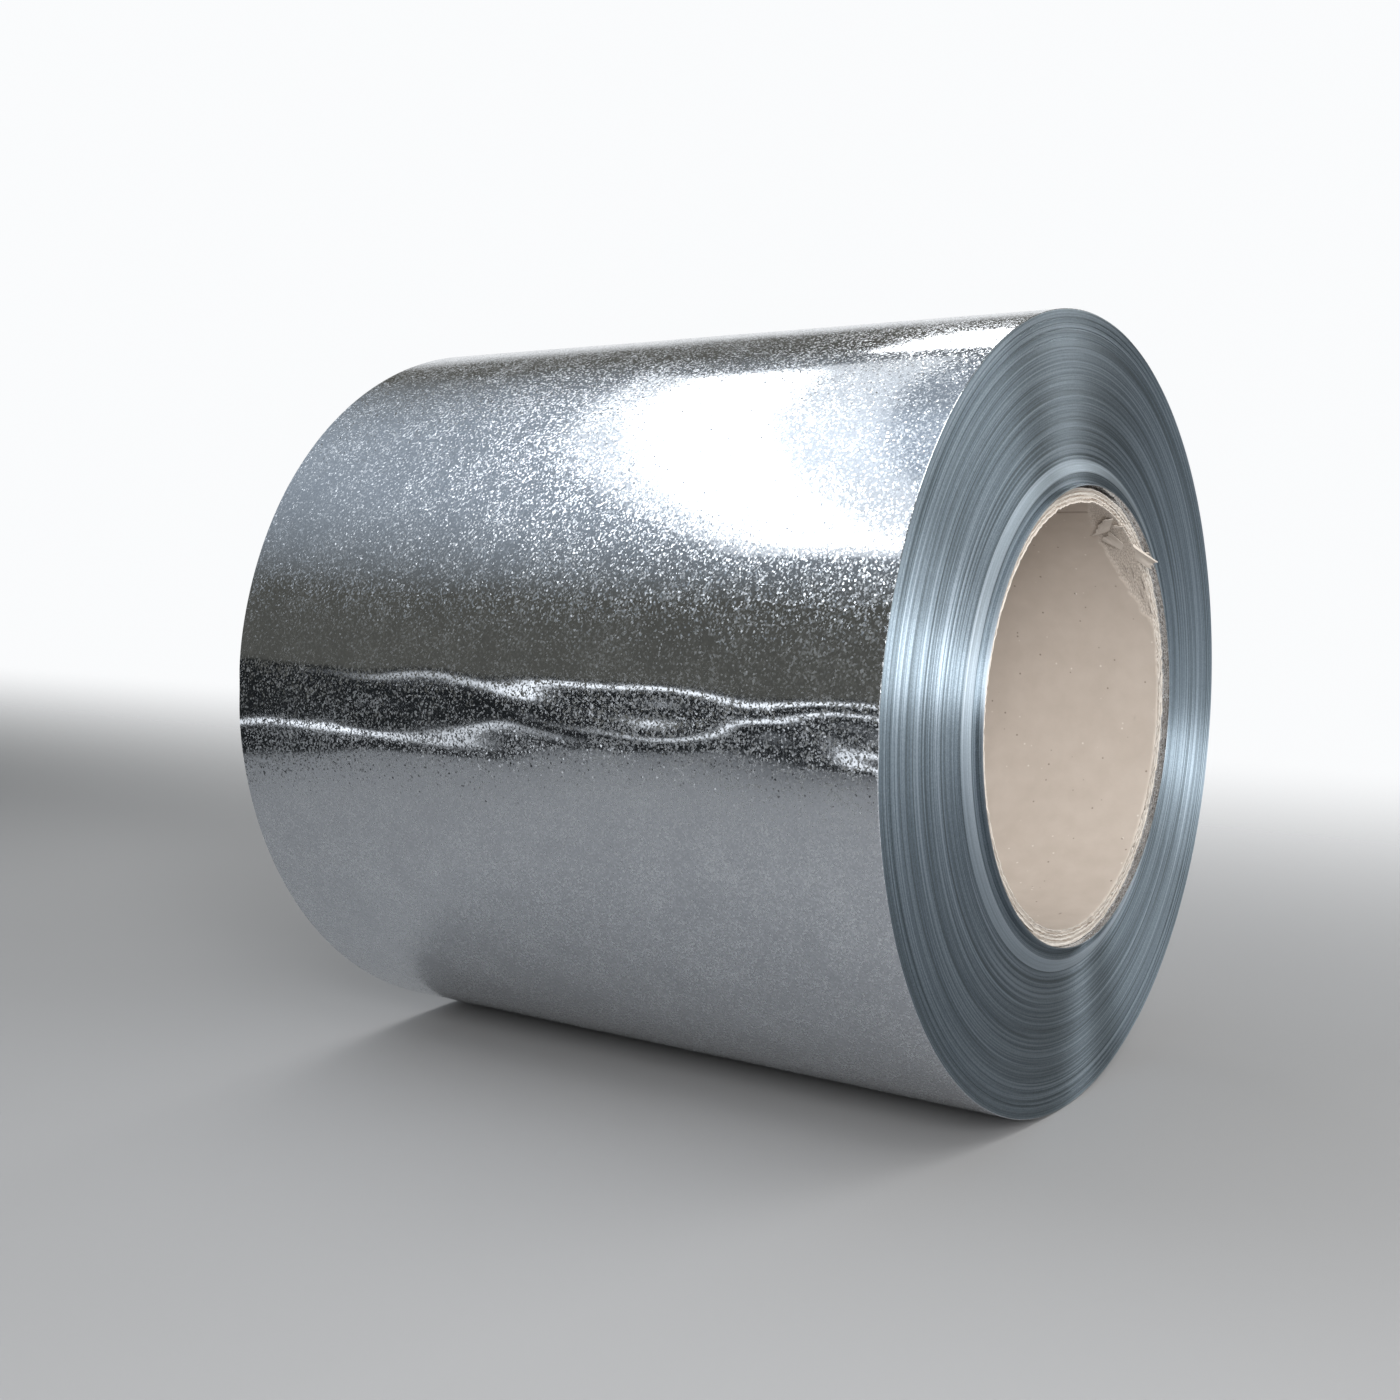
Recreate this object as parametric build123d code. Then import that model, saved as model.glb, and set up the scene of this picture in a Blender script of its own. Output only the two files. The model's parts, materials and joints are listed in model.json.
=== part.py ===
from build123d import *
import math
import os

# A coil of galvanised steel strip, wound on a paperboard core and lying on its side.
# Its axis is along X, with the telescoped end at +X. Z is up, and the origin is on the floor,
# under the middle of the coil. All sizes are in millimetres and all angles in degrees.

# Wound strip
OUTER_DIAMETER = 956.0
STRIP_WIDTH = 940.0

# Paperboard core, as long as the strip is wide
CORE_BORE = 508.0
CORE_WALL = 20.0
CORE_CLEARANCE = 0.3
CORE_PROUD = 4.7

# Laps near the bore, which have slid out along the axis: from the outside in, a slope of laps,
# a level band of them, and a thin lip of the first few laps at the bore
SLOPE_BAND = 20.0
SLOPE_RISE = 4.8
SLOPE_GROUPS = 4
LEVEL_BAND = 12.0
LIP_BAND = 2.0
LIP_RISE = 13.2

# Laps further out, which wandered from side to side a little as they were wound
WANDER = 1.4
WANDER_TURN = 137.5
FLAT_GROUPS = 10

# Inner plies torn out of the core's mouth in a scallop, whose middle is at an angle clockwise
# from the top as seen from +X, and which reaches as far again to either side
TEAR_MIDDLE = 36.0
TEAR_REACH = 33.0
TEAR_DEPTH = 42.0
TEAR_PLIES = 2.0

# Radii, from the inside out
CORE_RADIUS = CORE_BORE / 2
CORE_OUTER_RADIUS = CORE_RADIUS + CORE_WALL
BORE_RADIUS = CORE_OUTER_RADIUS + CORE_CLEARANCE
LIP_RADIUS = BORE_RADIUS + LIP_BAND
LEVEL_RADIUS = LIP_RADIUS + LEVEL_BAND
SLOPE_RADIUS = LEVEL_RADIUS + SLOPE_BAND
OUTER_RADIUS = OUTER_DIAMETER / 2

# Plane of the outermost lap at each end, with the whole coil's box centred on the origin
FAR_PLANE = -(STRIP_WIDTH + LIP_RISE) / 2
NEAR_PLANE = FAR_PLANE + STRIP_WIDTH

# The core's two ends, and the axis that everything is turned about
CORE_MOUTH = NEAR_PLANE + CORE_PROUD
CORE_TAIL = CORE_MOUTH - STRIP_WIDTH
COIL_AXIS = Axis((0, 0, OUTER_RADIUS), (1, 0, 0))


def lap_groups():
    """Groups of laps from the outside in, as (outer radius, inner radius, shift along the axis)."""
    groups = []
    flat_step = (OUTER_RADIUS - SLOPE_RADIUS) / FLAT_GROUPS
    for index in range(FLAT_GROUPS):
        outer = OUTER_RADIUS - index * flat_step
        shift = WANDER * (1 - math.cos(math.radians(index * WANDER_TURN))) / 2
        groups.append((outer, outer - flat_step, shift))
    slope_step = SLOPE_BAND / SLOPE_GROUPS
    for index in range(SLOPE_GROUPS):
        outer = SLOPE_RADIUS - index * slope_step
        groups.append((outer, outer - slope_step, SLOPE_RISE * (index + 1) / (SLOPE_GROUPS + 1)))
    groups.append((LEVEL_RADIUS, LIP_RADIUS, SLOPE_RISE))
    groups.append((LIP_RADIUS, BORE_RADIUS, LIP_RISE))
    return groups


def stepped_end(plane):
    """Edge of the laps at one end, from the barrel to the bore, as (x, distance from the axis)."""
    points = []
    for outer, inner, shift in lap_groups():
        points.append((plane + shift, outer))
        points.append((plane + shift, inner))
    return points


def section(points):
    """Flat face of a section above the axis, given as (x, distance from the axis)."""
    outline = Polyline(*[(x, OUTER_RADIUS + radius) for x, radius in points], close=True)
    return make_face(Plane.XZ * outline)


def tube_section(tail, mouth, inner, outer):
    """Section of a plain tube between two planes and two radii."""
    return section([(tail, inner), (mouth, inner), (mouth, outer), (tail, outer)])


def steel_coil():
    """Wound strip: every lap is as wide as the next, so what stands out at +X is sunk at -X."""
    return revolve(section(stepped_end(NEAR_PLANE) + stepped_end(FAR_PLANE)[::-1]), COIL_AXIS)


def torn_plies():
    """Space left by the plies torn out of the core's mouth: a ring of them, beyond a slanting plane."""
    ring = revolve(
        tube_section(
            CORE_MOUTH - 2 * TEAR_DEPTH,
            CORE_MOUTH + TEAR_PLIES,
            CORE_RADIUS - TEAR_PLIES,
            CORE_RADIUS + TEAR_PLIES,
        ),
        COIL_AXIS,
    )
    slant = TEAR_DEPTH / (CORE_RADIUS * (1 - math.cos(math.radians(TEAR_REACH))))
    deepest = (CORE_MOUTH - TEAR_DEPTH, 0, OUTER_RADIUS + CORE_RADIUS)
    plane = Plane(origin=deepest, x_dir=(0, 1, 0), z_dir=(1, 0, slant))
    beyond = plane * Box(CORE_BORE, CORE_BORE, CORE_BORE, align=(Align.CENTER, Align.CENTER, Align.MIN))
    return (ring & beyond).rotate(COIL_AXIS, -TEAR_MIDDLE)


def paper_core():
    """Paperboard tube that the strip was started on, with its torn mouth at +X."""
    tube = revolve(tube_section(CORE_TAIL, CORE_MOUTH, CORE_RADIUS, CORE_OUTER_RADIUS), COIL_AXIS)
    return tube - torn_plies()


os.makedirs("parts", exist_ok=True)
export_step(steel_coil(), "parts/steel_coil.step")
export_step(paper_core(), "parts/paper_core.step")
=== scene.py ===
import json

import bpy
import numpy as np
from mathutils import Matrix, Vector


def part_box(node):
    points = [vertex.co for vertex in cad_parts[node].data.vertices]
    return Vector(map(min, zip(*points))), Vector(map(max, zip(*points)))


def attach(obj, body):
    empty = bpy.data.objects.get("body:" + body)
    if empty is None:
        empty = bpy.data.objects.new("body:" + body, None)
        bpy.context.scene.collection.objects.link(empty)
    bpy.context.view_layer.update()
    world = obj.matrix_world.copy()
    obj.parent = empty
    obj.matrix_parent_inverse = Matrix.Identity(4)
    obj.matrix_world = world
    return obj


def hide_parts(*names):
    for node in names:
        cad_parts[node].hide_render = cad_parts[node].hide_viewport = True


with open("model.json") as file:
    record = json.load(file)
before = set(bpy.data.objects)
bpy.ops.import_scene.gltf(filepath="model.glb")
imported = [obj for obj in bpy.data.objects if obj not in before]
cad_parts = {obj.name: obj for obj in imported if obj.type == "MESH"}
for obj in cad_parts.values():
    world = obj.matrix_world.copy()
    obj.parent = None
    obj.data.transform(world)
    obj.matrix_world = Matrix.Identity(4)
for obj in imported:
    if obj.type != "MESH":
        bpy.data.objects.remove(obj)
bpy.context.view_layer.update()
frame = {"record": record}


# Paper core
# A thick tube of paperboard plies, wound and glued, that the first lap of strip was started on.
# It was sawn to the strip's width, and plies are torn out of its near mouth.

core_low, core_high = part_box("paper_core")
bore = next(mount for mount in frame["record"]["mounts"] if mount["name"] == "core_bore")
AXIS_HEIGHT = bore["pos_m"][2]
CORE_RADIUS = bore["dims"]["r_mm"] / 1000
CORE_WALL = (core_high[2] - core_low[2]) / 2 - CORE_RADIUS
CORE_MOUTH = core_high[0]
CORE_TAIL = core_low[0]

# Plies on the sawn ends, the frayed inner edge, and the ripple of the inner wall. Sizes are in metres
# where no other unit is given.
PLIES = 11
PLY_STAGGER = 0.0022
PLY_GAP = 0.07
SAW_ROUGHNESS = 0.0006
FRAYED_EDGE = 0.0013
FRAYED_DEPTH = 0.0024
FRAYED_CUT = 0.55
WALL_RIPPLE = 0.0003
TORN_ZONE = 0.05
RIPPLE_WAVES = 24

# Tone of each ply on a sawn end, from the inside out, and of the walls: 1 is pale and 0 is brown.
PLY_TONES = [1.0, 0.5, 0.3, 0.75, 0.25, 0.45, 0.9, 0.3, 0.55, 1.0, 0.7]
WALL_TONE = 0.9

# Scallop of inner plies that are peeled off at the mouth.
PEEL_MIDDLE = np.radians(36.0)
PEEL_REACH = np.radians(33.0)
PEEL_DEPTH = 0.042
PEEL_PLIES = 0.0015
PEEL_RAGGED = 0.0026
PEEL_EDGE = 0.007

# Glued seam of the innermost ply, which starts some way in from the mouth.
SEAM_ANGLE = np.radians(16.4)
SEAM_START = 0.025
SEAM_STEP = 0.0009
SEAM_WIDTH = np.radians(0.6)
SEAM_EASE = 0.002
# How dark the seam's line is: a painted shade along its step.
SEAM_PAINTED_SHADE = 0.8

# Gaps that open between plies on the mouth, from and to an angle in degrees. Their depths are darkened by
# a painted shade.
CREVICES = [
    {"from": -12.0, "to": 24.0, "ply": 10, "depth": 0.009},
    {"from": 18.0, "to": 30.0, "ply": 5, "depth": 0.005},
    {"from": 128.0, "to": 176.0, "ply": 9, "depth": 0.008},
    {"from": 205.0, "to": 228.0, "ply": 7, "depth": 0.003},
]

# Dark spots on the inner wall, as (depth in from the mouth in mm, angle in degrees).
SPOTS = [(41.4, 53.9), (44.0, 148.6), (16.0, 127.6), (30.0, 96.0), (37.0, 171.0)]
SPOT_RADIUS = 0.0011

# Columns of the mesh round the axis. They are closer in the arc of the tear, in degrees.
FINE_ARC = (-8.0, 80.0)
FINE_COLUMNS = 250
PLAIN_COLUMNS = 260


def around(angle, radius, x):
    """Points at an angle clockwise from the top as seen from +X, a distance from the axis, and an x."""
    angle, radius, x = np.broadcast_arrays(angle, radius, x)
    return np.stack([x, radius * np.sin(angle), AXIS_HEIGHT + radius * np.cos(angle)], axis=-1)


def ripple(angle, waves, seed):
    """Periodic noise of height about 1: a sum of cosines of the angle with random phases."""
    rng = np.random.default_rng(seed)
    counts = rng.integers(waves[0], waves[1], RIPPLE_WAVES)
    phases = rng.uniform(0, 2 * np.pi, RIPPLE_WAVES)
    cosines = np.cos(np.multiply.outer(angle, counts) + phases)
    return cosines.sum(axis=-1) / np.sqrt(RIPPLE_WAVES)


def soft_step(value, low, high):
    """Smooth rise from 0 at low to 1 at high: 3t^2 - 2t^3 of the clipped share of the way."""
    t = np.clip((value - low) / (high - low), 0, 1)
    return t * t * (3 - 2 * t)


def turn_from(angle, middle):
    """Angle from a middle one, between minus and plus half a turn."""
    return (angle - middle + np.pi) % (2 * np.pi) - np.pi


def grid_faces(rows, columns, wrap_rows=False, caps=False):
    """Faces of a grid whose columns close on themselves: a quad for each cell, as point numbers.

    Rows close too with wrap_rows, and caps adds one face over the first row and one over the last.
    """
    index = np.arange(rows * columns).reshape(rows, columns)
    above = index if wrap_rows else index[:-1]
    below = np.roll(index, -1, axis=0) if wrap_rows else index[1:]
    corners = [above, below, np.roll(below, -1, axis=1), np.roll(above, -1, axis=1)]
    faces = np.stack(corners, axis=-1).reshape(-1, 4).tolist()
    if caps:
        faces += [index[0].tolist(), index[-1][::-1].tolist()]
    return faces


def smooth_mesh(name, points, faces):
    """Mesh of points and faces that are all shaded smooth."""
    mesh = bpy.data.meshes.new(name)
    mesh.from_pydata(points.reshape(-1, 3).tolist(), [], faces)
    mesh.polygons.foreach_set("use_smooth", np.ones(len(mesh.polygons), dtype=bool))
    return mesh


def keep_values(mesh, **values):
    """Store numbers on a mesh's points under names that its material reads."""
    for name, numbers in values.items():
        attribute = mesh.attributes.new(name, "FLOAT", "POINT")
        attribute.data.foreach_set("value", np.ascontiguousarray(numbers, dtype=np.float32).ravel())


def place(name, mesh, sharp_over):
    """Object of a mesh at the origin, with creases sharper than an angle shaded as edges."""
    mesh.set_sharp_from_angle(angle=np.radians(sharp_over))
    mesh.update()
    piece = bpy.data.objects.new(name, mesh)
    bpy.context.collection.objects.link(piece)
    return piece


def peel_depth(angle):
    """How far in from the mouth the inner plies are gone: a slanting plane's cut with the wall, made
    ragged by two ripples, or less than nothing out of the tear's reach."""
    hump = (np.cos(turn_from(angle, PEEL_MIDDLE)) - np.cos(PEEL_REACH)) / (1 - np.cos(PEEL_REACH))
    ragged = ripple(angle, (30, 90), seed=11) * 0.6 + ripple(angle, (90, 260), seed=12) * 0.4
    ragged = PEEL_RAGGED * ragged * np.clip(hump * 4, 0, 1)
    return np.where(hump > 0, PEEL_DEPTH * hump + ragged, -1.0)


def sawn_end(angle, end_x, outward, inner_radius, seed, crevices):
    """Rows across a sawn end, two to a ply: each ply at its own level, ragged, and open in the
    crevices. Also gives how dark each point is in the crevices: a painted shade in their depths."""
    rng = np.random.default_rng(14)
    stagger = rng.uniform(-1, 0, PLIES) * PLY_STAGGER
    borders = np.concatenate([[0], np.cumsum(rng.uniform(0.6, 1.5, PLIES))])
    borders = borders / borders[-1]
    rows = []
    shade = []
    for ply in range(PLIES):
        level = stagger[ply] + SAW_ROUGHNESS * ripple(angle, (20, 240), seed + ply)
        sunk = np.zeros_like(angle)
        for gap in crevices:
            if gap["ply"] == ply:
                half = np.radians(gap["to"] - gap["from"]) / 2
                away = np.abs(turn_from(angle, np.radians(gap["to"] + gap["from"]) / 2))
                sunk = 1 - soft_step(away, half * 0.5, half)
                level = level - gap["depth"] * sunk
        outer_edge = borders[ply] * PLY_GAP + borders[ply + 1] * (1 - PLY_GAP)
        for share in (borders[ply], outer_edge):
            radius = inner_radius + (CORE_RADIUS + CORE_WALL - inner_radius) * share
            rows.append(around(angle, radius, end_x + outward * level))
            # The darkness that deepens with a crevice is a painted shade.
            shade.append(sunk)
    return np.array(rows), np.array(shade)


def core_points(angle):
    """Closed section carried round the axis: in along the inner wall, out over the sawn tail end,
    back along the outer wall and in over the sawn mouth. The inner plies are sunk where they are
    peeled. Also gives the number of wall rows, how far each wall point is peeled, and how dark each
    point is: dark spots on the wall, and a painted shade along the seam's step and in the crevices."""
    near = np.concatenate([[0, 0.0006, 0.0014], np.linspace(FRAYED_DEPTH, TORN_ZONE, 49)])
    deep = np.linspace(near[-1], CORE_MOUTH - CORE_TAIL, 15)[1:]
    depth = np.concatenate([near, deep])[:, None]
    gone = soft_step(peel_depth(angle) - depth, 0, PEEL_EDGE)
    seam = np.exp(-((turn_from(angle, SEAM_ANGLE) / SEAM_WIDTH) ** 2))
    seam = seam * soft_step(depth, SEAM_START, SEAM_START + SEAM_EASE)
    sag = WALL_RIPPLE * ripple(angle, (2, 9), seed=13) * soft_step(depth, 0, TORN_ZONE)
    fray = FRAYED_EDGE * np.abs(ripple(angle, (40, 250), seed=16))
    fray = fray * (1 - soft_step(depth, 0, FRAYED_DEPTH))
    wall_radius = CORE_RADIUS + PEEL_PLIES * gone + SEAM_STEP * seam * (1 - gone) + sag + fray
    # Painted shade along the seam's step, then the dark spots on the wall.
    wall_dark = SEAM_PAINTED_SHADE * seam * (1 - gone)
    for spot_depth, spot_angle in SPOTS:
        across = CORE_RADIUS * turn_from(angle, np.radians(spot_angle))
        spot = np.exp(-(across**2 + (depth - spot_depth / 1000) ** 2) / SPOT_RADIUS**2)
        wall_dark = np.maximum(wall_dark, spot)
    inner = around(angle, wall_radius, CORE_MOUTH - depth)
    tail, tail_dark = sawn_end(angle, CORE_TAIL, -1, wall_radius[-1], seed=40, crevices=[])
    mouth, mouth_dark = sawn_end(angle, CORE_MOUTH, 1, wall_radius[0], seed=80, crevices=CREVICES)
    grid = np.concatenate([inner, tail, mouth[::-1]])
    return grid, len(inner), gone, np.concatenate([wall_dark, tail_dark, mouth_dark[::-1]])


def wound_map(mesh, grid, angles, radius):
    """UV map of a turned grid: U is metres round the axis at a radius, and V is metres along the
    section."""
    along = np.cumsum(np.linalg.norm(np.diff(grid[:, 0], axis=0, prepend=grid[:1, 0]), axis=1))
    closing = np.linalg.norm(grid[-1, 0] - grid[0, 0])
    around_u = np.append(angles, angles[0] + 2 * np.pi) * radius
    along_v = np.append(along, along[-1] + closing)
    low_u, low_v = np.meshgrid(around_u[:-1], along_v[:-1])
    high_u, high_v = np.meshgrid(around_u[1:], along_v[1:])
    corners_u = np.stack([low_u, low_u, high_u, high_u], axis=-1)
    corners_v = np.stack([low_v, high_v, high_v, low_v], axis=-1)
    wound = mesh.uv_layers.new(name="wound")
    wound.uv.foreach_set("vector", np.stack([corners_u, corners_v], axis=-1).ravel())


fine_from, fine_to = np.radians(FINE_ARC)
fine_arc = np.linspace(fine_from, fine_to, FINE_COLUMNS, endpoint=False)
plain_arc = np.linspace(fine_to, fine_from + 2 * np.pi, PLAIN_COLUMNS, endpoint=False)
core_angles = np.concatenate([fine_arc, plain_arc])
core_grid, wall_rows, peeled, dark = core_points(core_angles)
core_faces = grid_faces(*core_grid.shape[:2], wrap_rows=True)
core_mesh = smooth_mesh("paper_core_tube", core_grid, core_faces)
wound_map(core_mesh, core_grid, core_angles, CORE_RADIUS)

cut = np.ones(core_grid.shape[:2])
cut[:wall_rows] = 0
cut[:2] = FRAYED_CUT
torn = np.zeros(core_grid.shape[:2])
torn[:wall_rows] = peeled
ply_tone = np.full(core_grid.shape[:2], WALL_TONE)
tones = np.repeat(PLY_TONES, 2)
ply_tone[wall_rows:] = np.concatenate([tones, tones[::-1]])[:, None]
# The dark values hold the wall's spots, and a painted shade along the seam and in the crevices.
keep_values(core_mesh, cut=cut, torn=torn, dark=dark, ply=ply_tone)


def node_in(tree, kind, at, **inputs):
    """Shader node of a kind with its named inputs set to values or linked to other sockets."""
    node = tree.nodes.new(kind)
    node.location = at
    for name, value in inputs.items():
        socket = node.inputs[name.replace("_", " ")]
        if isinstance(value, bpy.types.NodeSocket):
            tree.links.new(value, socket)
        else:
            socket.default_value = value
    return node


def fed(tree, node, values, sockets=None):
    """Set or link a node's inputs in order, or the numbered ones, and return the node."""
    for number, value in zip(sockets or range(len(node.inputs)), values):
        if isinstance(value, bpy.types.NodeSocket):
            tree.links.new(value, node.inputs[number])
        else:
            node.inputs[number].default_value = value
    return node


def maths(tree, operation, *values):
    """Output of a Math node with the values, or sockets, in order."""
    node = tree.nodes.new("ShaderNodeMath")
    node.operation = operation
    return fed(tree, node, values).outputs[0]


def product(tree, first, *others):
    """Product of values, or sockets, by one Math node for each further one."""
    for other in others:
        first = maths(tree, "MULTIPLY", first, other)
    return first


def vectors(tree, operation, *values):
    """Vector output of a Vector Math node with the values, or sockets, in order."""
    node = tree.nodes.new("ShaderNodeVectorMath")
    node.operation = operation
    return fed(tree, node, values).outputs["Vector"]


def blended(tree, share, first, second):
    """Colour mixed from the first to the second by a share."""
    node = tree.nodes.new("ShaderNodeMix")
    node.data_type = "RGBA"
    return fed(tree, node, (share, first, second), (0, 6, 7)).outputs[2]


def ranged(tree, value, from_low, from_high, to_low=0.0, to_high=1.0):
    """Output of a Map Range node that carries a value from one range to another, clamped."""
    node = tree.nodes.new("ShaderNodeMapRange")
    return fed(tree, node, (value, from_low, from_high, to_low, to_high)).outputs[0]


def noise(tree, place_on, scale, detail, stretch=(1.0, 1.0, 1.0)):
    """Value of a noise texture on coordinates that are stretched first."""
    mapped = node_in(tree, "ShaderNodeMapping", (-1100, 0), Vector=place_on, Scale=stretch)
    return node_in(
        tree, "ShaderNodeTexNoise", (-900, 0), Vector=mapped.outputs[0], Scale=scale, Detail=detail
    ).outputs["Fac"]


def paper_material():
    """Paperboard: mottled tan liner with dark and pale specks, streaky grey fibre where it is torn,
    and pale and brown plies where it is sawn. Dark spots are marked on it, and a painted shade lies
    along the seam and in the crevices."""
    liner_pale = (0.508, 0.446, 0.392, 1)
    liner_dark = (0.466, 0.406, 0.353, 1)
    fibre_pale = (0.68, 0.635, 0.58, 1)
    fibre_dark = (0.27, 0.215, 0.17, 1)
    torn_pale = (0.66, 0.60, 0.54, 1)
    torn_dark = (0.33, 0.285, 0.245, 1)
    speck_and_shade_brown = (0.15, 0.115, 0.09, 1)
    speck_pale = (0.82, 0.79, 0.74, 1)
    material = bpy.data.materials.new("paperboard")
    material.use_nodes = True
    tree = material.node_tree
    shader = tree.nodes["Principled BSDF"]
    place_on = tree.nodes.new("ShaderNodeTexCoord").outputs["Object"]
    wound = tree.nodes.new("ShaderNodeUVMap")
    wound.uv_map = "wound"

    def stored(name):
        """Number that the mesh keeps on its points under a name."""
        node = tree.nodes.new("ShaderNodeAttribute")
        node.attribute_name = name
        return node.outputs["Fac"]

    mottle = noise(tree, place_on, scale=38.0, detail=6.0)
    fibres = noise(tree, place_on, scale=420.0, detail=4.0)
    sawn = noise(tree, wound.outputs[0], scale=1.0, detail=4.0, stretch=(26.0, 900.0, 1.0))
    streaks = noise(tree, wound.outputs[0], scale=1.0, detail=5.0, stretch=(260.0, 700.0, 1.0))
    specks = node_in(tree, "ShaderNodeTexVoronoi", (-900, -600), Vector=place_on, Scale=95.0).outputs
    pick = node_in(tree, "ShaderNodeSeparateColor", (-700, -600), Color=specks["Color"]).outputs[0]
    spot = ranged(tree, specks["Distance"], 0.17, 0.08)
    dark_spot = product(tree, spot, maths(tree, "GREATER_THAN", pick, 0.84))
    pale_spot = product(tree, spot, maths(tree, "LESS_THAN", pick, 0.12))
    colour = blended(tree, ranged(tree, mottle, 0.3, 0.7), liner_dark, liner_pale)
    colour = blended(tree, product(tree, dark_spot, 0.7), colour, speck_and_shade_brown)
    colour = blended(tree, product(tree, pale_spot, 0.5), colour, speck_pale)
    furry = blended(tree, ranged(tree, streaks, 0.36, 0.64), torn_dark, torn_pale)
    colour = blended(tree, product(tree, stored("torn"), 0.8), colour, furry)
    tone = maths(tree, "MULTIPLY_ADD", stored("ply"), 0.42, sawn)
    plies = blended(tree, ranged(tree, tone, 0.48, 0.90), fibre_dark, fibre_pale)
    colour = blended(tree, stored("cut"), colour, plies)
    # Darkened by the mesh's dark values: spots on the wall, and a painted shade along the seam and in the
    # crevices.
    colour = blended(tree, product(tree, stored("dark"), 0.85), colour, speck_and_shade_brown)
    tree.links.new(colour, shader.inputs["Base Color"])
    tree.links.new(ranged(tree, fibres, 0.3, 0.7, 0.72, 0.92), shader.inputs["Roughness"])
    height = maths(tree, "MULTIPLY_ADD", fibres, 0.4, mottle)
    height = maths(tree, "MULTIPLY_ADD", product(tree, streaks, stored("torn")), 3.0, height)
    height = maths(tree, "MULTIPLY_ADD", product(tree, sawn, stored("cut")), 3.0, height)
    bump = node_in(tree, "ShaderNodeBump", (-200, -300), Height=height, Strength=0.35, Distance=0.0006)
    tree.links.new(bump.outputs[0], shader.inputs["Normal"])
    shader.inputs["Specular IOR Level"].default_value = 0.25
    return material


paperboard = paper_material()
core = place("core_tube", core_mesh, sharp_over=40)
core.data.materials.append(paperboard)
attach(core, "root")
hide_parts("paper_core")


# Torn paper
# Tongues of the inner plies that the tear left hanging in the core's mouth, bent off the wall.
# They are the core's own paperboard, still joined to it at their roots.

# Rows of each tongue's mesh and their points, how ragged, rough and tapered its free end is, and the
# first one's random seed.
FLAP_ROWS = 14
FLAP_POINTS = 12
FLAP_RAGGED = 0.16
FLAP_ROUGHNESS = 0.0003
FLAP_TAPER = 0.6
FLAP_SEED = 31

# Corners as (depth in from the mouth in mm, angle in degrees, lift off the wall in mm):
# two at the root and two free. The curl and the thickness are in mm too.
FLAPS = [
    {
        "corners": [(2.8, 22.7, -1), (18.2, 30.0, -1), (45.0, 31.3, 3.5), (11.6, 20.3, 5)],
        "curl": 1.2,
        "thick": 0.9,
    },
    {
        "corners": [(11.0, 37.9, -1), (15.5, 40.5, -1), (37.0, 32.9, 4), (16.9, 28.4, 5)],
        "curl": 0.6,
        "thick": 0.6,
    },
    {
        "corners": [(-2.4, 27.9, -1), (1.6, 29.0, -1), (7.4, 25.5, 5), (3.6, 23.8, 6)],
        "curl": 0.8,
        "thick": 0.8,
    },
    {
        "corners": [(2.0, 37.6, -2.5), (5.0, 43.2, -2), (-11.4, 48.1, -3.5), (-22.0, 45.4, -4)],
        "curl": 1.4,
        "thick": 4.2,
    },
    {
        "corners": [(1.0, 42.2, -5), (1.0, 44.4, -5), (-11.0, 43.9, -7.5), (-14.0, 42.2, -7)],
        "curl": 0.6,
        "thick": 1.4,
    },
    {
        "corners": [(12.0, 44.5, -1), (14.0, 44.7, -1), (12.4, 50.2, 1.2), (11.2, 50.0, 2)],
        "curl": 0.5,
        "thick": 0.5,
    },
    {
        "corners": [(4.2, 47.3, -1), (6.4, 47.6, -1), (2.2, 54.8, 1.2), (1.2, 54.5, 2)],
        "curl": 0.5,
        "thick": 0.5,
    },
    {
        "corners": [(9.0, 52.0, -1), (10.8, 52.3, -1), (7.4, 58.8, 1), (6.4, 58.5, 1.6)],
        "curl": 0.5,
        "thick": 0.5,
    },
    {
        "corners": [(1.5, 57.0, -1), (3.2, 57.3, -1), (0.6, 63.5, 1), (-0.5, 63.2, 1.6)],
        "curl": 0.5,
        "thick": 0.5,
    },
    {
        "corners": [(22.0, 43.0, -1), (24.2, 43.3, -1), (19.6, 48.7, 1), (18.6, 48.4, 1.6)],
        "curl": 0.5,
        "thick": 0.5,
    },
]


def flap_points(corners, curl, thick, seed):
    """Thin sheet over four corners, blended between them, arched by the curl, with ragged free edges.
    Each row goes out over the upper side and back under the lower one, so that the columns close."""
    out = np.linspace(0, 1, FLAP_POINTS)
    across = np.linspace(0, 1, FLAP_ROWS)[:, None]
    rng = np.random.default_rng(seed)
    reach = 1 - FLAP_RAGGED * rng.random((FLAP_ROWS, 1))
    share = out * reach
    root_a, root_b, free_b, free_a = np.array(corners, dtype=float)

    def blend(number):
        """One of the corners' three numbers over the sheet."""
        side_a = root_a[number] + (free_a[number] - root_a[number]) * share
        side_b = root_b[number] + (free_b[number] - root_b[number]) * share
        return side_a + (side_b - side_a) * across

    depth = blend(0) / 1000
    angle = np.radians(blend(1))
    lift = blend(2) / 1000
    lift = lift + curl / 1000 * (np.sin(np.pi * share) + np.cos(2 * np.pi * across) * share * 0.5)
    lift = lift + FLAP_ROUGHNESS * rng.normal(0, 1, lift.shape) * share
    radius = CORE_RADIUS + PEEL_PLIES - lift
    taper = thick / 1000 * (1 - FLAP_TAPER * share)
    upper = around(angle, radius - taper / 2, CORE_MOUTH - depth)
    lower = around(angle, radius + taper / 2, CORE_MOUTH - depth)
    return np.concatenate([upper, lower[:, ::-1]], axis=1)


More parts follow.
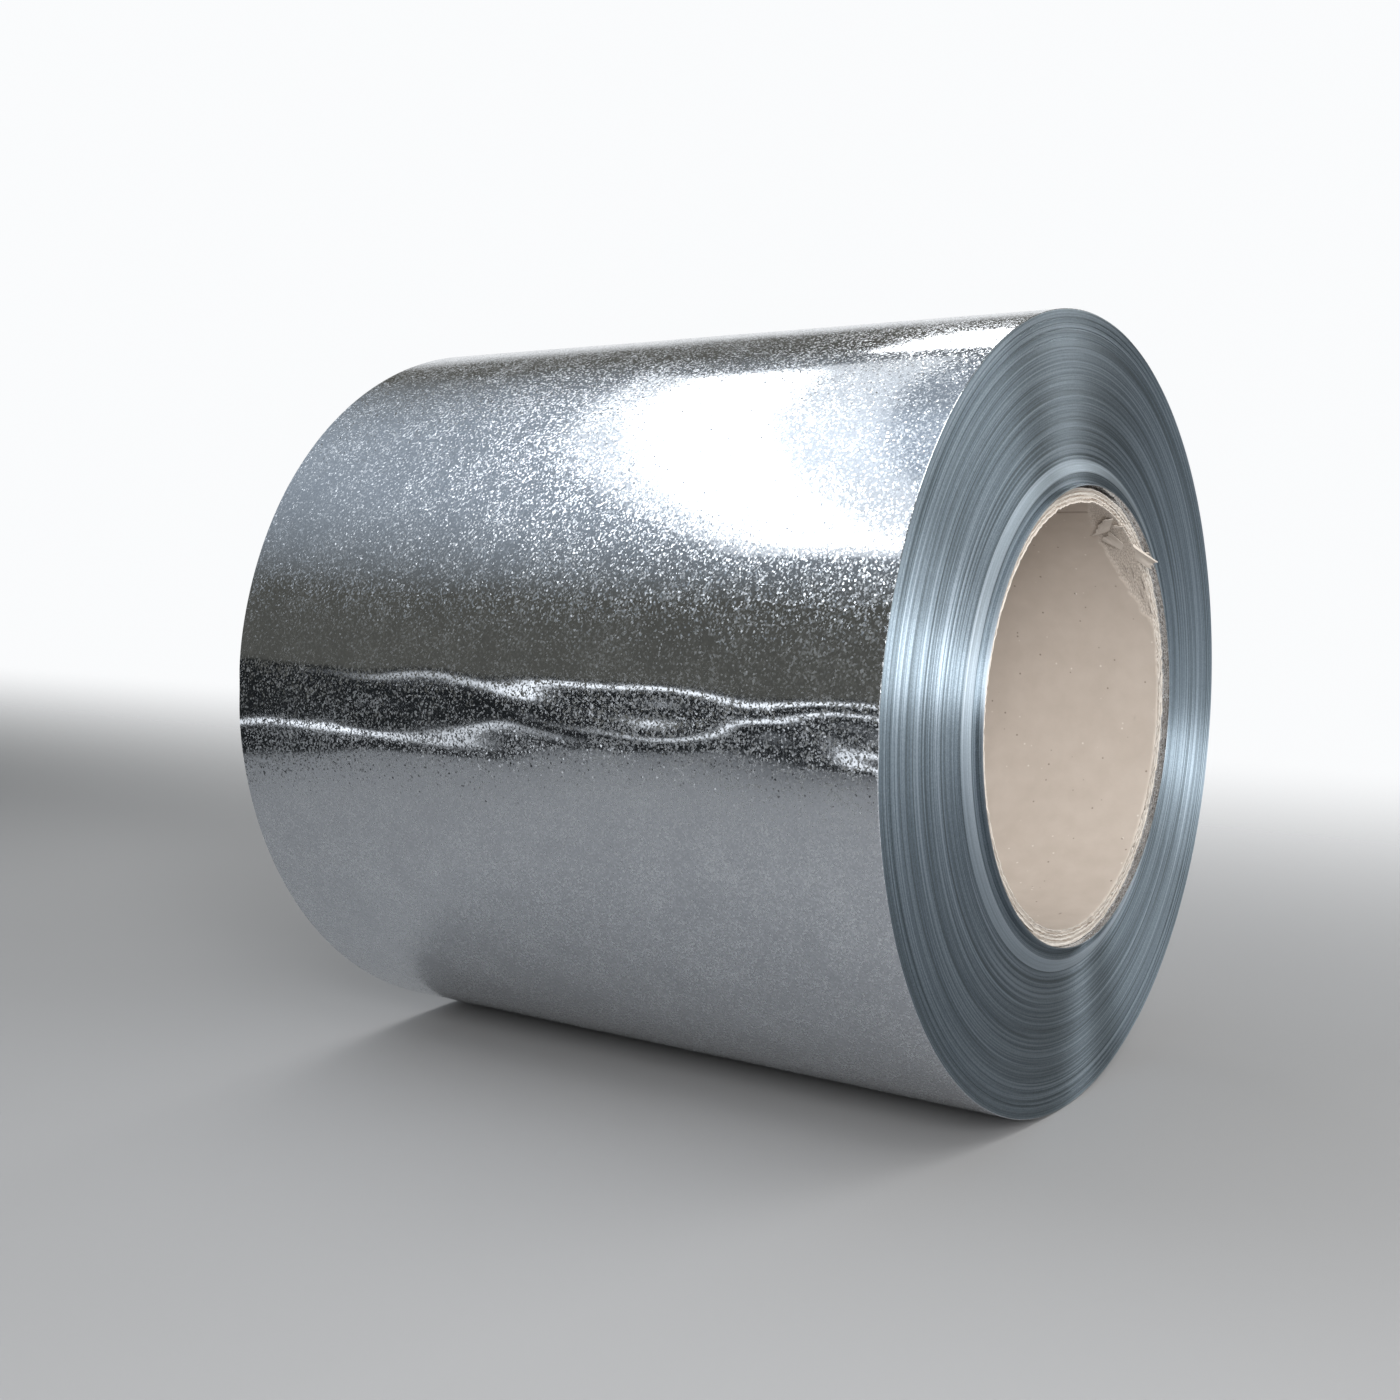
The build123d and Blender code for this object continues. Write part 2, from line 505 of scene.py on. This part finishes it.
flap_grids = [flap_points(**flap, seed=FLAP_SEED + number) for number, flap in enumerate(FLAPS)]
flap_count = flap_grids[0].shape[0] * flap_grids[0].shape[1]
one_flap = grid_faces(*flap_grids[0].shape[:2], caps=True)
flap_faces = []
for number in range(len(FLAPS)):
    flap_faces += [[point + flap_count * number for point in face] for face in one_flap]
flap_mesh = smooth_mesh("torn_paper_flaps", np.array(flap_grids), flap_faces)
every_point = np.ones(flap_count * len(FLAPS))
# A share of the pale sawn-ply colour makes the flaps paler than the wall: painted light where they stand
# off it.
keep_values(
    flap_mesh,
    cut=0.45 * every_point,
    torn=0.2 * every_point,
    dark=0 * every_point,
    ply=0.8 * every_point,
)
flaps = place("torn_paper", flap_mesh, sharp_over=40)
flaps.data.materials.append(paperboard)
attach(flaps, "root")


# Steel strip
# Hot-dip galvanised sheet with a fine spangle, slit to width and wound tight on the core.
# The slit edges of its laps make the ends, and the laps near the bore have slid out at +X.

strip_low, strip_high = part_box("steel_coil")
CORE_CLEARANCE = 0.0003
LIP_RISE = 0.0132
OUTER_RADIUS = (strip_high[2] - strip_low[2]) / 2
BORE_RADIUS = CORE_RADIUS + CORE_WALL + CORE_CLEARANCE
FAR_EDGE = strip_low[0]
NEAR_EDGE = strip_high[0] - LIP_RISE
STRIP_THICKNESS = 0.0006
EDGE_ROUND = 0.0005

# How far laps have slid along +X, as (distance from the bore, shift) in mm: a thin lip, a level band
# that rises to a crest, a slope down from it, and laps that wandered a little.
SLID_LAPS = [
    (0.0, 12.9), (0.3, 13.2), (1.4, 13.2), (1.8, 12.7), (1.9, 10.0), (2.0, 7.5), (2.2, 4.9),
    (3.5, 4.6), (6.0, 4.9), (8.5, 5.3), (11.0, 5.7), (13.5, 6.1), (15.5, 6.5), (17.0, 6.5),
    (18.2, 6.1), (20.0, 5.3), (22.0, 4.4), (24.0, 3.5), (26.0, 2.7), (28.0, 2.0), (30.0, 1.4),
    (33.0, 0.8), (37.0, 0.4), (42.0, 0.3), (50.0, 0.2), (67.0, 0.3), (84.0, 0.15), (101.0, 0.3),
    (118.0, 0.15), (135.0, 0.3), (152.0, 0.15), (169.0, 0.3), (186.0, 0.2), (203.7, 0.0),
]
LAP_ROUGHNESS = 0.00005

# Narrow grooves where a few laps are sunk, as (radius, depth) in mm, with a floor and sloping sides.
SUNK_LAPS = [(467.0, 0.7), (461.2, 0.6), (454.8, 0.8), (444.6, 0.6), (372.0, 0.4), (310.0, 0.7)]
GROOVE_FLOOR = 0.0002
GROOVE_SIDE = 0.0009

# Bands of laps, as distances from the bore: the lip's edge, its foot, the slope whose laps bare their
# zinc faces, and the start of the flat laps.
LIP_EDGE = 0.00185
LIP_FOOT = 0.003
SLOPE_START = 0.0150
SLOPE_END = 0.0305
FLAT_START = 0.045

# Bands in from the barrel: the outermost lap, and the rim that is rounded. The outermost lap and the
# lip's edge show a share of zinc.
OUTER_LAP = 0.001
RIM_BAND = 0.004
ZINC_SHARE = 0.9

# Rows of the mesh: over the flat laps, the grooves (in mm from their middles), the rim and the barrel,
# and how near to a groove's rows others are dropped.
FLAT_ROWS = 66
GROOVE_ROWS = [-1.0, 0.0, 1.0]
RIM_ROWS = [0.0024, 0.0012, 0.0005, 0.0]
SLID_ROW_GAP = 0.0003
FLAT_ROW_GAP = 0.0007
BARREL_ROWS = 56
BARREL_EDGE_ROWS = [0.0, 0.0006, 0.0018, 0.005]
BARREL_INSET = 0.012

# Gentle waves in the outer lap, as (length along the coil in m, waves round it, weight).
WAVES = [(0.62, 5, 1.0), (0.43, 11, 0.7), (0.36, 24, 0.5), (0.23, 31, 0.35)]
WAVE_HEIGHT = 0.0005

# Shallow buckles in a band half way up the front, as (height in mm, length along the coil in m, phase,
# middle and reach in degrees from the band's own middle), and the drift of their middles in degrees.
BUCKLE_ANGLE = np.radians(-88.0)
BUCKLE_REACH = np.radians(8.0)
BUCKLES = [
    (0.95, 0.33, 0.4, 0.5, 2.6),
    (0.55, 0.19, 2.0, 2.2, 1.9),
    (1.15, 0.51, 4.4, -3.2, 3.2),
    (0.36, 0.14, 1.0, -0.6, 1.7),
]
BUCKLE_DRIFT = 1.1
DRIFT_LENGTH = 0.83

# Columns of the mesh round the axis: plain ones, close ones over the buckles, and one to each side of the
# step at the strip's tail, which is on the hidden lower back.
STRIP_COLUMNS = 260
BUCKLE_COLUMNS = 76
TAIL_ANGLE = np.radians(152.0)
TAIL_SIDE = 0.0002
TAIL_GAP = 0.004


def lap_rows():
    """Radii of the rows over the laps, from the barrel to the bore: close ones at steps and grooves."""
    distance = np.array(SLID_LAPS)[:, 0] / 1000
    slid = BORE_RADIUS + distance[distance < FLAT_START]
    flat = np.linspace(BORE_RADIUS + FLAT_START, OUTER_RADIUS - RIM_BAND, FLAT_ROWS)
    grooves = (np.array(SUNK_LAPS)[:, :1] + np.array(GROOVE_ROWS)).ravel() / 1000
    slid = slid[np.abs(slid[:, None] - grooves).min(axis=1) > SLID_ROW_GAP]
    flat = flat[np.abs(flat[:, None] - grooves).min(axis=1) > FLAT_ROW_GAP]
    rim = OUTER_RADIUS - np.array(RIM_ROWS)
    return np.sort(np.concatenate([slid, flat, grooves, rim]))[::-1]


def lap_shift(radius):
    """How far laps at a radius have slid along +X: the measured steps, the grooves and a random part."""
    slid = np.array(SLID_LAPS).T / 1000
    shift = np.interp(radius - BORE_RADIUS, *slid)
    for groove, depth in SUNK_LAPS:
        away = np.abs(radius - groove / 1000)
        shift = shift - depth / 1000 * (1 - soft_step(away, GROOVE_FLOOR, GROOVE_SIDE))
    rough = LAP_ROUGHNESS * np.random.default_rng(21).normal(0, 1, radius.shape)
    rough = rough * (radius > BORE_RADIUS + LIP_FOOT) * (radius < OUTER_RADIUS - OUTER_LAP)
    return np.minimum(shift + rough, LIP_RISE)


def bare_share(radius):
    """Share of zinc among the slit edges: most on the lip's edge and on the outermost lap."""
    lip = radius < BORE_RADIUS + LIP_EDGE
    return np.where(lip | (radius > OUTER_RADIUS - OUTER_LAP), ZINC_SHARE, 0.0)


def on_slope(radius):
    """Whether laps at a radius are on the slope, where they bare their zinc faces."""
    distance = radius - BORE_RADIUS
    return (distance > SLOPE_START) & (distance < SLOPE_END)


def sheet_waves(x, angle):
    """Depth of the gentle waves in the outer lap, from 0 down: products of long waves along and round,
    and a band of shorter buckles half way up the front, whose middles drift up and down."""
    rng = np.random.default_rng(22)
    total = 0
    for length, turns, weight in WAVES:
        slant = rng.uniform(0, 2 * np.pi, 4)
        along = np.cos(2 * np.pi * x / length + slant[0] + 0.8 * np.sin(angle * 3 + slant[1]))
        about = np.cos(turns * angle + slant[2] + 1.2 * np.sin(x * 9 + slant[3]))
        total = total + weight * along * about
    most = sum(weight for length, turns, weight in WAVES)
    depth = WAVE_HEIGHT * (total - most) / most
    away = np.degrees(turn_from(angle, BUCKLE_ANGLE))
    for height, length, phase, middle, reach in BUCKLES:
        drift = middle + BUCKLE_DRIFT * np.sin(2 * np.pi * x / DRIFT_LENGTH + phase)
        swell = (np.cos(2 * np.pi * x / length + phase) - 1) / 2
        depth = depth + height / 1000 * swell * np.exp(-(((away - drift) / reach) ** 2))
    return depth


def strip_points(angle):
    """Closed section carried round the axis: out over the near ends of the laps, along the barrel,
    in over the far ends and back along the bore. The outer lap is a spiral of one strip thickness."""
    spiral = STRIP_THICKNESS * (((TAIL_ANGLE - angle) / (2 * np.pi)) % 1)
    radius = lap_rows()
    shift = lap_shift(radius)
    rim = soft_step(radius, OUTER_RADIUS - RIM_BAND, OUTER_RADIUS)[:, None]

    def lap_ends(edge):
        """Rows over the laps at one end: each at its radius, less at the rim, and slid along X."""
        rim_depth = spiral - sheet_waves(np.full_like(angle, edge), angle) + EDGE_ROUND
        return around(angle, radius[:, None] - rim * rim_depth, (edge + shift)[:, None])

    near = lap_ends(NEAR_EDGE)[::-1]
    far = lap_ends(FAR_EDGE)
    close = np.array(BARREL_EDGE_ROWS) + EDGE_ROUND
    plain_rows = BARREL_ROWS - 2 * len(close)
    middle = np.linspace(NEAR_EDGE - BARREL_INSET, FAR_EDGE + BARREL_INSET, plain_rows)
    barrel_x = np.concatenate([NEAR_EDGE - close, middle, FAR_EDGE + close[::-1]])[:, None]
    barrel = around(angle, OUTER_RADIUS - spiral + sheet_waves(barrel_x, angle), barrel_x)
    return np.concatenate([near, barrel, far])


plain = np.linspace(0, 2 * np.pi, STRIP_COLUMNS, endpoint=False)
plain = plain[np.abs(plain - TAIL_ANGLE) > TAIL_GAP]
plain = plain[np.abs(turn_from(plain, BUCKLE_ANGLE)) > 2 * BUCKLE_REACH]
wavy = BUCKLE_ANGLE + 2 * np.pi + 2 * BUCKLE_REACH * np.linspace(-1, 1, BUCKLE_COLUMNS)
tail_sides = TAIL_ANGLE + np.array([-TAIL_SIDE, TAIL_SIDE])
strip_angles = np.sort(np.concatenate([plain, wavy, tail_sides]))
strip_grid = strip_points(strip_angles)
strip_rows, strip_columns = strip_grid.shape[:2]
strip_faces = grid_faces(strip_rows, strip_columns, wrap_rows=True)
strip_mesh = smooth_mesh("strip_laps", strip_grid, strip_faces)
wound_map(strip_mesh, strip_grid, strip_angles, OUTER_RADIUS)

# Finish of each row of faces: 0 is the zinc coat, 1 slit edges and 2 the slope's bared zinc.
ring_count = len(lap_rows())
row_finish = np.zeros(strip_rows, dtype=np.int32)
row_finish[: ring_count - 1] = 1
row_finish[ring_count + BARREL_ROWS : -1] = 1
sloping = on_slope(lap_rows())
sloping = np.concatenate([sloping[::-1], np.zeros(BARREL_ROWS, dtype=bool), sloping])
row_finish[sloping & np.roll(sloping, -1)] = 2
strip_mesh.polygons.foreach_set("material_index", np.repeat(row_finish, strip_columns))

lap_share = bare_share(lap_rows())
row_share = np.concatenate([lap_share[::-1], np.zeros(BARREL_ROWS), lap_share])
keep_values(strip_mesh, bare=np.repeat(row_share, strip_columns))


def galvanised_material():
    """Zinc coat: a pale blue-grey mirror, with many fine crystals that are frosted and lean off it."""
    zinc_pale = (0.655, 0.685, 0.725, 1)
    zinc_dark = (0.445, 0.472, 0.51, 1)
    least_lean = 0.010
    least_dull = 0.062
    material = bpy.data.materials.new("galvanised_sheet")
    material.use_nodes = True
    tree = material.node_tree
    shader = tree.nodes["Principled BSDF"]
    shader.inputs["Metallic"].default_value = 1.0
    place_on = tree.nodes.new("ShaderNodeTexCoord").outputs["Object"]
    grains = node_in(tree, "ShaderNodeTexVoronoi", (-1100, 200), Vector=place_on, Scale=520.0)
    pick = node_in(tree, "ShaderNodeSeparateColor", (-900, 400), Color=grains.outputs["Color"]).outputs
    clouds = noise(tree, place_on, scale=16.0, detail=5.0)
    rolled = noise(tree, place_on, scale=1.0, detail=4.0, stretch=(1500.0, 9.0, 9.0))

    chance = maths(tree, "MULTIPLY_ADD", maths(tree, "SUBTRACT", clouds, 0.5), 0.9, pick[2])
    frosted = ranged(tree, chance, 0.50, 0.72)
    lean = vectors(tree, "SUBTRACT", grains.outputs["Color"], (0.5, 0.5, 0.5))
    reach = maths(tree, "MULTIPLY_ADD", frosted, ranged(tree, pick[1], 0.0, 1.0, 0.05, 0.30), least_lean)
    scaled = tree.nodes.new("ShaderNodeVectorMath")
    scaled.operation = "SCALE"
    tree.links.new(lean, scaled.inputs[0])
    tree.links.new(reach, scaled.inputs["Scale"])
    scratch = node_in(tree, "ShaderNodeBump", (-600, -450), Height=rolled, Strength=0.03, Distance=0.0004)
    turned = vectors(tree, "ADD", scratch.outputs[0], scaled.outputs[0])
    tree.links.new(vectors(tree, "NORMALIZE", turned), shader.inputs["Normal"])

    dull = maths(tree, "MULTIPLY_ADD", frosted, ranged(tree, pick[0], 0.0, 1.0, 0.06, 0.32), least_dull)
    dull = maths(tree, "ADD", dull, ranged(tree, rolled, 0.55, 0.8, 0.0, 0.10))
    tree.links.new(dull, shader.inputs["Roughness"])
    tone = maths(tree, "MULTIPLY_ADD", pick[1], 0.35, product(tree, clouds, 0.2))
    tone = maths(tree, "MULTIPLY_ADD", frosted, 0.5, tone)
    tree.links.new(blended(tree, tone, zinc_dark, zinc_pale), shader.inputs["Base Color"])
    return material


def ring_group():
    """Node group of the rings that lap ends make: noise that is drawn out round the axis, for single
    laps, groups and bands of them, with some grit. It gives a colour between three tones, the height of
    the rings and a roughness."""
    group = bpy.data.node_groups.new("lap_rings", "ShaderNodeTree")
    for name in ("Dark", "Middle", "Bright"):
        group.interface.new_socket(name, in_out="INPUT", socket_type="NodeSocketColor")
    group.interface.new_socket("Colour", in_out="OUTPUT", socket_type="NodeSocketColor")
    group.interface.new_socket("Height", in_out="OUTPUT", socket_type="NodeSocketFloat")
    group.interface.new_socket("Roughness", in_out="OUTPUT", socket_type="NodeSocketFloat")
    tones = group.nodes.new("NodeGroupInput").outputs

    place_on = group.nodes.new("ShaderNodeTexCoord").outputs["Object"]
    from_axis = vectors(group, "SUBTRACT", place_on, (0, 0, AXIS_HEIGHT))
    from_axis = vectors(group, "NORMALIZE", vectors(group, "MULTIPLY", from_axis, (0, 1, 1)))
    heading = node_in(group, "ShaderNodeSeparateXYZ", (-1300, 0), Vector=from_axis).outputs
    wound = group.nodes.new("ShaderNodeUVMap")
    wound.uv_map = "wound"
    across = node_in(group, "ShaderNodeSeparateXYZ", (-1300, 200), Vector=wound.outputs[0]).outputs
    ring_place = node_in(
        group, "ShaderNodeCombineXYZ", (-1200, 0), X=across["Y"], Y=heading["Y"], Z=heading["Z"]
    ).outputs[0]
    laps = noise(group, ring_place, scale=1.0, detail=2.0, stretch=(520.0, 1.2, 1.2))
    groups = noise(group, ring_place, scale=1.0, detail=2.0, stretch=(235.0, 0.6, 0.6))
    bands = noise(group, ring_place, scale=1.0, detail=2.0, stretch=(80.0, 0.3, 0.3))
    grit = noise(group, place_on, scale=700.0, detail=2.0)
    rings = maths(group, "MULTIPLY_ADD", laps, 0.36, product(group, groups, 0.42))
    rings = maths(group, "MULTIPLY_ADD", bands, 0.04, rings)
    rings = maths(group, "MULTIPLY_ADD", grit, 0.18, rings)
    colour = blended(group, ranged(group, rings, 0.41, 0.505), tones["Dark"], tones["Middle"])
    colour = blended(group, ranged(group, rings, 0.505, 0.62), colour, tones["Bright"])
    roughness = ranged(group, groups, 0.35, 0.65, 0.46, 0.58)
    fed(group, group.nodes.new("NodeGroupOutput"), (colour, rings, roughness))
    return group


def ringed_material(name, ring_nodes, tones, stretched):
    """Ends of many laps: the group's rings in three tones of metal, and zinc where the mesh bares it,
    with a shine that is stretched across the rings."""
    bare_zinc = (0.51, 0.57, 0.625, 1)
    material = bpy.data.materials.new(name)
    material.use_nodes = True
    tree = material.node_tree
    shader = tree.nodes["Principled BSDF"]
    shader.inputs["Metallic"].default_value = 1.0
    shader.inputs["Anisotropic"].default_value = stretched
    shader.inputs["Anisotropic Rotation"].default_value = 0.25
    tangent = node_in(tree, "ShaderNodeTangent", (-300, -500))
    tangent.direction_type = "UV_MAP"
    tangent.uv_map = "wound"
    tree.links.new(tangent.outputs[0], shader.inputs["Tangent"])

    placed = tree.nodes.new("ShaderNodeGroup")
    placed.node_tree = ring_nodes
    rings = fed(tree, placed, tones).outputs
    bare = tree.nodes.new("ShaderNodeAttribute")
    bare.attribute_name = "bare"
    share = product(tree, bare.outputs["Fac"], ranged(tree, rings["Height"], 0.40, 0.62, 0.5, 0.9))
    tree.links.new(blended(tree, share, rings["Colour"], bare_zinc), shader.inputs["Base Color"])
    tree.links.new(rings["Roughness"], shader.inputs["Roughness"])
    bump = node_in(
        tree, "ShaderNodeBump", (-300, -300), Height=rings["Height"], Strength=0.35, Distance=0.0005
    )
    tree.links.new(bump.outputs[0], shader.inputs["Normal"])
    return material


# Tones of the rings, from dark to bright.
SLIT_STEEL = ((0.145, 0.182, 0.208, 1), (0.255, 0.315, 0.365, 1), (0.455, 0.53, 0.60, 1))
BARED_ZINC = ((0.36, 0.425, 0.48, 1), (0.45, 0.525, 0.59, 1), (0.57, 0.645, 0.71, 1))

lap_rings = ring_group()
strip = place("strip_coil", strip_mesh, sharp_over=35)
strip.data.materials.append(galvanised_material())
strip.data.materials.append(ringed_material("slit_edges", lap_rings, SLIT_STEEL, stretched=1.0))
strip.data.materials.append(ringed_material("bared_zinc", lap_rings, BARED_ZINC, stretched=0.86))
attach(strip, "root")
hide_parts("steel_coil")


# Floor
# A plain pale studio floor, painted matt. It fades out some way off: into the backdrop behind the coil
# and beside it, and into the dark of the room in a corner before the far end.

FLOOR_SIZE = 40.0
FLOOR_COLOUR = (0.36, 0.36, 0.365, 1)
FLOOR_SHADE = (0.28, 0.28, 0.28, 1)

# Where each fade starts and where it is full: behind along Y, beside as a distance from the near end,
# and in the corner along X. Each is also kept to its own side of the coil, in the same way.
BEHIND_FADE = (0.6, 3.4)
BEHIND_SIDE = (1.7, 0.8)
BESIDE_FADE = (1.5, 2.8)
BESIDE_SIDE = (0.7, 1.4)
BESIDE_SLANT = -0.55
CORNER_FADE = (-1.45, -1.6)
CORNER_SIDE = (-0.5, -0.9)


def floor_material():
    """Matt pale paint with a faint unevenness, which turns clear some way off."""
    material = bpy.data.materials.new("studio_floor")
    material.use_nodes = True
    tree = material.node_tree
    shader = tree.nodes["Principled BSDF"]
    place_on = tree.nodes.new("ShaderNodeTexCoord").outputs["Object"]
    spot = node_in(tree, "ShaderNodeSeparateXYZ", (-900, 0), Vector=place_on).outputs
    clouds = noise(tree, place_on, scale=1.5, detail=4.0)
    shade = blended(tree, product(tree, clouds, 0.12), FLOOR_COLOUR, FLOOR_SHADE)
    tree.links.new(shade, shader.inputs["Base Color"])
    shader.inputs["Roughness"].default_value = 0.85

    def eased(value, low, high):
        """Smooth rise from 0 at low to 1 at high, by a Map Range node."""
        node = tree.nodes.new("ShaderNodeMapRange")
        node.interpolation_type = "SMOOTHSTEP"
        return fed(tree, node, (value, low, high)).outputs[0]

    behind = product(tree, eased(spot["Y"], *BEHIND_FADE), eased(spot["X"], *BEHIND_SIDE))
    distance = tree.nodes.new("ShaderNodeVectorMath")
    distance.operation = "DISTANCE"
    from_end = fed(tree, distance, (place_on, (strip_high[0], 0.0, 0.0))).outputs["Value"]
    to_side = maths(tree, "MULTIPLY_ADD", spot["Y"], BESIDE_SLANT, spot["X"])
    beside = product(tree, eased(from_end, *BESIDE_FADE), eased(to_side, *BESIDE_SIDE))
    corner = product(tree, eased(spot["X"], *CORNER_FADE), eased(spot["Y"], *CORNER_SIDE))
    faded = maths(tree, "MAXIMUM", maths(tree, "MAXIMUM", behind, beside), corner)
    clear = tree.nodes.new("ShaderNodeBsdfTransparent")
    mix = tree.nodes.new("ShaderNodeMixShader")
    fed(tree, mix, (faded, shader.outputs[0], clear.outputs[0]))
    tree.links.new(mix.outputs[0], tree.nodes["Material Output"].inputs["Surface"])
    return material


half = FLOOR_SIZE / 2
floor_mesh = bpy.data.meshes.new("floor")
floor_corners = [(-half, -half, 0), (half, -half, 0), (half, half, 0), (-half, half, 0)]
floor_mesh.from_pydata(floor_corners, [], [(0, 1, 2, 3)])
floor = bpy.data.objects.new("floor", floor_mesh)
bpy.context.collection.objects.link(floor)
floor.data.materials.append(floor_material())


# Light
# A plain studio: a pale backdrop behind the coil and beside it, and a dim room whose wall is dark low
# down before the far end, with three strip lights. The lamps are soft boxes: two overhead, one of them
# with a wider, dimmer veil, one behind the near end, one above it and two beside the camera.

BACKDROP = (0.96, 0.97, 0.98, 1)
ROOM = (0.135, 0.132, 0.115, 1)
LOW_WALL = (0.02, 0.022, 0.023, 1)
STRIP_LIGHT = (2.2, 2.23, 2.26, 1)

# Parts of the studio by the direction that they are seen in, as the parts of a unit vector: where each
# starts to show along an axis, and where it is full.
BEHIND = {"Y": (0.1, 0.4), "X": (0.0, -0.15), "Z": (0.42, 0.30)}
BESIDE = {"X": (0.42, 0.60), "Z": (0.12, 0.04)}
BEFORE_FAR_END = {"Y": (0.0, -0.1), "X": (-0.15, -0.25)}
LOW_DOWN = {"Z": (0.088, 0.066)}

# Strip lights, as (bottom and top along Z, first and last end along X), and their soft edges and ends.
STRIP_LIGHTS = [
    (0.018, 0.056, -0.74, -0.42),
    (-0.086, -0.05, -0.65, -0.42),
    (-0.168, -0.128, -0.84, -0.64),
]
STRIP_EDGE = 0.01
STRIP_FIRST_END = 0.1
STRIP_LAST_END = 0.08

# Glow overhead: the direction of its middle, and two lobes as (cosines at the edge and where it is full,
# share of the colour).
GLOW_WAY = (-0.44, -0.10, 0.892)
GLOW_LOBES = [(0.72, 0.93, 0.52), (0.965, 0.998, 0.3)]
GLOW_COLOUR = (0.82, 0.93, 1.06, 1)


def studio_world():
    """Backdrop behind the coil and beside it, and a dim room with a glow overhead, whose wall is dark low
    down before the far end and holds the strip lights."""
    world = bpy.data.worlds.new("studio")
    world.use_nodes = True
    tree = world.node_tree
    facing = tree.nodes.new("ShaderNodeTexCoord").outputs["Generated"]
    way = node_in(tree, "ShaderNodeSeparateXYZ", (-900, 0), Vector=facing).outputs

    def within(limits):
        """Share of a part of the studio in a direction: the product of its rises along the axes."""
        return product(tree, *[ranged(tree, way[axis], *limit) for axis, limit in limits.items()])

    backdrop = maths(tree, "MAXIMUM", within(BEHIND), within(BESIDE))
    in_front = within(BEFORE_FAR_END)
    low = product(tree, in_front, within(LOW_DOWN))
    strips = 0.0
    for bottom, top, first, last in STRIP_LIGHTS:
        rise = ranged(tree, way["Z"], bottom, bottom + STRIP_EDGE)
        fall = ranged(tree, way["Z"], top, top - STRIP_EDGE)
        first_end = ranged(tree, way["X"], first, first + STRIP_FIRST_END)
        last_end = ranged(tree, way["X"], last, last - STRIP_LAST_END)
        strips = maths(tree, "MAXIMUM", strips, product(tree, rise, fall, first_end, last_end))
    strips = product(tree, strips, in_front)
    toward = tree.nodes.new("ShaderNodeVectorMath")
    toward.operation = "DOT_PRODUCT"
    cosine = fed(tree, toward, (facing, GLOW_WAY)).outputs["Value"]
    glow = 0.0
    for edge, full, share in GLOW_LOBES:
        glow = maths(tree, "ADD", glow, ranged(tree, cosine, edge, full, 0.0, share))
    room = blended(tree, glow, ROOM, GLOW_COLOUR)
    room = blended(tree, low, room, LOW_WALL)
    room = blended(tree, strips, room, STRIP_LIGHT)
    background = tree.nodes["Background"]
    tree.links.new(blended(tree, backdrop, room, BACKDROP), background.inputs["Color"])
    background.inputs["Strength"].default_value = 1.0
    return world


def soft_box(name, at, towards, width, length, glow):
    """Area lamp of a size in metres, turned to a point, whose face shows at a brightness of glow."""
    lamp = bpy.data.lights.new(name, "AREA")
    lamp.shape = "RECTANGLE"
    lamp.size = width
    lamp.size_y = length
    lamp.energy = glow * np.pi * width * length
    holder = bpy.data.objects.new(name, lamp)
    bpy.context.collection.objects.link(holder)
    holder.location = at
    direction = np.array(towards) - np.array(at)
    tilt = np.arctan2(np.hypot(direction[0], direction[1]), -direction[2])
    turn = np.arctan2(direction[1], direction[0]) - np.pi / 2
    holder.rotation_euler = (tilt, 0, turn)


bpy.context.scene.world = studio_world()

# Each box's place, the point that it is turned to, its width, length and brightness.
soft_box("front_box", (-1.41, -0.7, 3.0), (-1.41, -0.699, 0.0), 0.42, 3.3, 5.5)
soft_box("front_veil", (-1.37, -0.75, 3.02), (-1.37, -0.749, 0.0), 1.04, 3.7, 0.85)
soft_box("rear_box", (-1.0, 1.9, 3.0), (-1.0, 1.901, 0.0), 0.5, 0.9, 7.0)
soft_box("end_box", (1.9, 3.3, 1.85), (0.46, 0.0, 0.5), 0.3, 0.5, 21.0)
soft_box("top_fill", (2.3, 0.1, 3.0), (0.46, 0.0, 0.48), 4.4, 0.8, 4.6)
soft_box("side_fill", (2.55, -2.85, 1.6), (0.4, 0.0, 0.48), 1.3, 1.3, 22.0)
soft_box("high_fill", (2.2, -2.1, 2.5), (0.4, 0.0, 0.48), 0.9, 1.0, 9.0)


# Camera
# The photograph's view, solved from the coil's own outline: a normal lens, held level, a little above
# the coil's axis and to the near end's side of it.

COIL_MIDDLE = np.array([(NEAR_EDGE + FAR_EDGE) / 2, 0.0, AXIS_HEIGHT])
EYE_IN_RADII = np.array([2.7058, -4.0386, 0.4595])
LOOK_LEFT = np.radians(35.46)
LOOK_DOWN = np.radians(5.562)
SENSOR_WIDTH = 36.0
FOCAL_LENGTH = 44.36

lens = bpy.data.cameras.new("camera")
lens.sensor_width = SENSOR_WIDTH
lens.lens = FOCAL_LENGTH
camera = bpy.data.objects.new("camera", lens)
bpy.context.collection.objects.link(camera)
camera.location = COIL_MIDDLE + OUTER_RADIUS * EYE_IN_RADII
camera.rotation_euler = (np.pi / 2 - LOOK_DOWN, 0, LOOK_LEFT)
scene = bpy.context.scene
scene.camera = camera
scene.view_settings.view_transform = "Standard"
